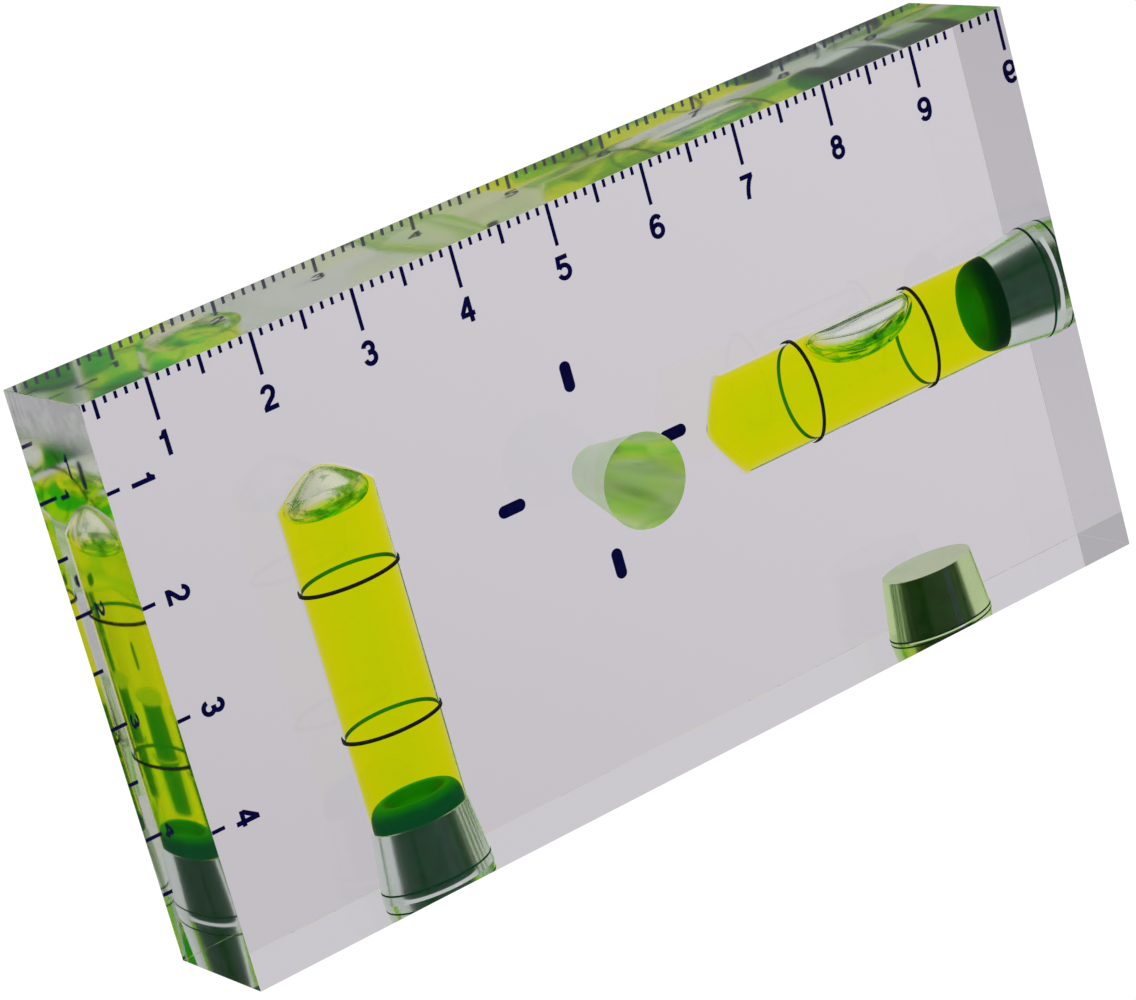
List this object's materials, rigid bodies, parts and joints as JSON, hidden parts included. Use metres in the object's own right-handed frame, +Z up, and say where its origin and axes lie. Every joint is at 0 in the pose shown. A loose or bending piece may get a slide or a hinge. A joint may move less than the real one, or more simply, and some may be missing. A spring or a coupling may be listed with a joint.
{
  "type": "t-shaped spirit level",
  "caption": "Clear block spirit level with a level vial and a plumb vial bored into it at right angles, a centimetre scale along two edges and a conical marking hole",
  "frame": {"origin": "middle of the long lower edge face that the block stands on", "axes": "+X along the 95 mm edge to the right as the scale reads from the front, +Y through the 13 mm thickness to the printed rear face, +Z up the 51 mm height"},
  "size_m": [0.095, 0.013, 0.051],
  "materials": {
    "acrylic": "clear and glossy, taken to be acrylic from its look",
    "vial_liquid": "clear yellow-green liquid",
    "air": "clear air bubble",
    "ring_black": "matt black",
    "plug_green": "dark green, matt, taken to be rubber from its look",
    "navy_print": "navy print"
  },
  "bodies": {
    "block": {"acrylic_block": "acrylic", "horizontal_vial_liquid": "vial_liquid", "vertical_vial_liquid": "vial_liquid", "horizontal_ring_near": "ring_black", "horizontal_ring_far": "ring_black", "vertical_ring_near": "ring_black", "vertical_ring_far": "ring_black", "horizontal_vial_plug": "plug_green", "vertical_vial_plug": "plug_green", "spare_bore_plug": "plug_green", "top_scale_ticks": "navy_print", "side_scale_ticks": "navy_print", "top_scale_numerals": "navy_print", "side_scale_numerals": "navy_print", "cross_dashes": "navy_print"},
    "level_bubble": {"horizontal_bubble": "air"},
    "plumb_bubble": {"vertical_bubble": "air"}
  },
  "joints": [
    {"name": "level_bubble_travel", "type": "slide", "parent": "block", "child": "level_bubble", "axis": [1, 0, 0], "range_m": [-0.0088, 0.0062], "deforming": ["horizontal_vial_liquid"]},
    {"name": "plumb_bubble_travel", "type": "slide", "parent": "block", "child": "plumb_bubble", "axis": [0, 0, 1], "range_m": [-0.0246, 0], "stiffness_N_per_m": 0.4, "springref_m": 0.06, "deforming": ["vertical_vial_liquid"]}
  ]
}
